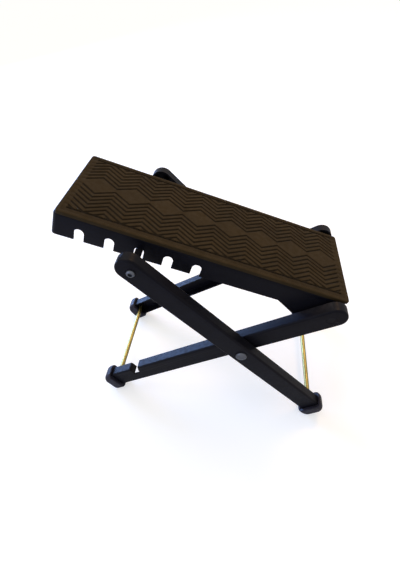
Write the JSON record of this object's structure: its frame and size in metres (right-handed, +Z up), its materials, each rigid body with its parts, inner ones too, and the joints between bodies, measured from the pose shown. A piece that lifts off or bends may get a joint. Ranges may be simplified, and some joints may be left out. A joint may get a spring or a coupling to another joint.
{
  "type": "guitar footrest",
  "caption": "Folding footrest: a ribbed rubber tread hinged to crossed channel legs, its height set by notches that drop over a rod.",
  "frame": {"origin": "on the floor under the middle of the footrest's box, set up at its middle height", "axes": "+Z up, +X from the tread's high end to its low hinged end, +Y from the front pair of legs to the rear pair"},
  "size_m": [0.2484, 0.151, 0.2396],
  "materials": {
    "black_paint": "semi-gloss baked enamel on pressed steel",
    "mat_rubber": "matt moulded rubber with a raised pattern",
    "foot_rubber": "matt moulded rubber",
    "yellow_zinc": "pale yellow zinc plate",
    "white_zinc": "bright zinc plate",
    "spacer_nylon": "moulded black nylon"
  },
  "bodies": {
    "inner_legs": {"inner_leg_front": "black_paint", "inner_leg_rear": "black_paint", "hinge_rod": "black_paint", "hinge_spacer_front": "spacer_nylon", "hinge_spacer_rear": "spacer_nylon", "pivot_rivet_front": "white_zinc", "pivot_rivet_rear": "white_zinc", "pivot_spacer_front": "spacer_nylon", "pivot_spacer_rear": "spacer_nylon", "pivot_washer_front": "white_zinc", "pivot_washer_rear": "white_zinc", "inner_foot_rod": "yellow_zinc", "inner_foot_front": "foot_rubber", "inner_foot_rear": "foot_rubber"},
    "outer_legs": {"outer_leg_front": "black_paint", "outer_leg_rear": "black_paint", "height_rod": "black_paint", "height_rod_screw_front": "white_zinc", "height_rod_screw_rear": "white_zinc", "outer_foot_rod": "yellow_zinc", "outer_foot_front": "foot_rubber", "outer_foot_rear": "foot_rubber"},
    "tread": {"tread_pan": "black_paint", "tread_mat": "mat_rubber"}
  },
  "joints": [
    {"name": "tread_lift", "type": "hinge", "parent": "inner_legs", "child": "tread", "pos_m": [0.10739, 0, 0.14673], "axis": [0, 1, 0], "range_deg": [0, 95]},
    {"name": "leg_fold", "type": "hinge", "parent": "inner_legs", "child": "outer_legs", "pos_m": [0.03398, 0, 0.10193], "axis": [0, -1, 0], "range_deg": [0, 78.5]}
  ]
}
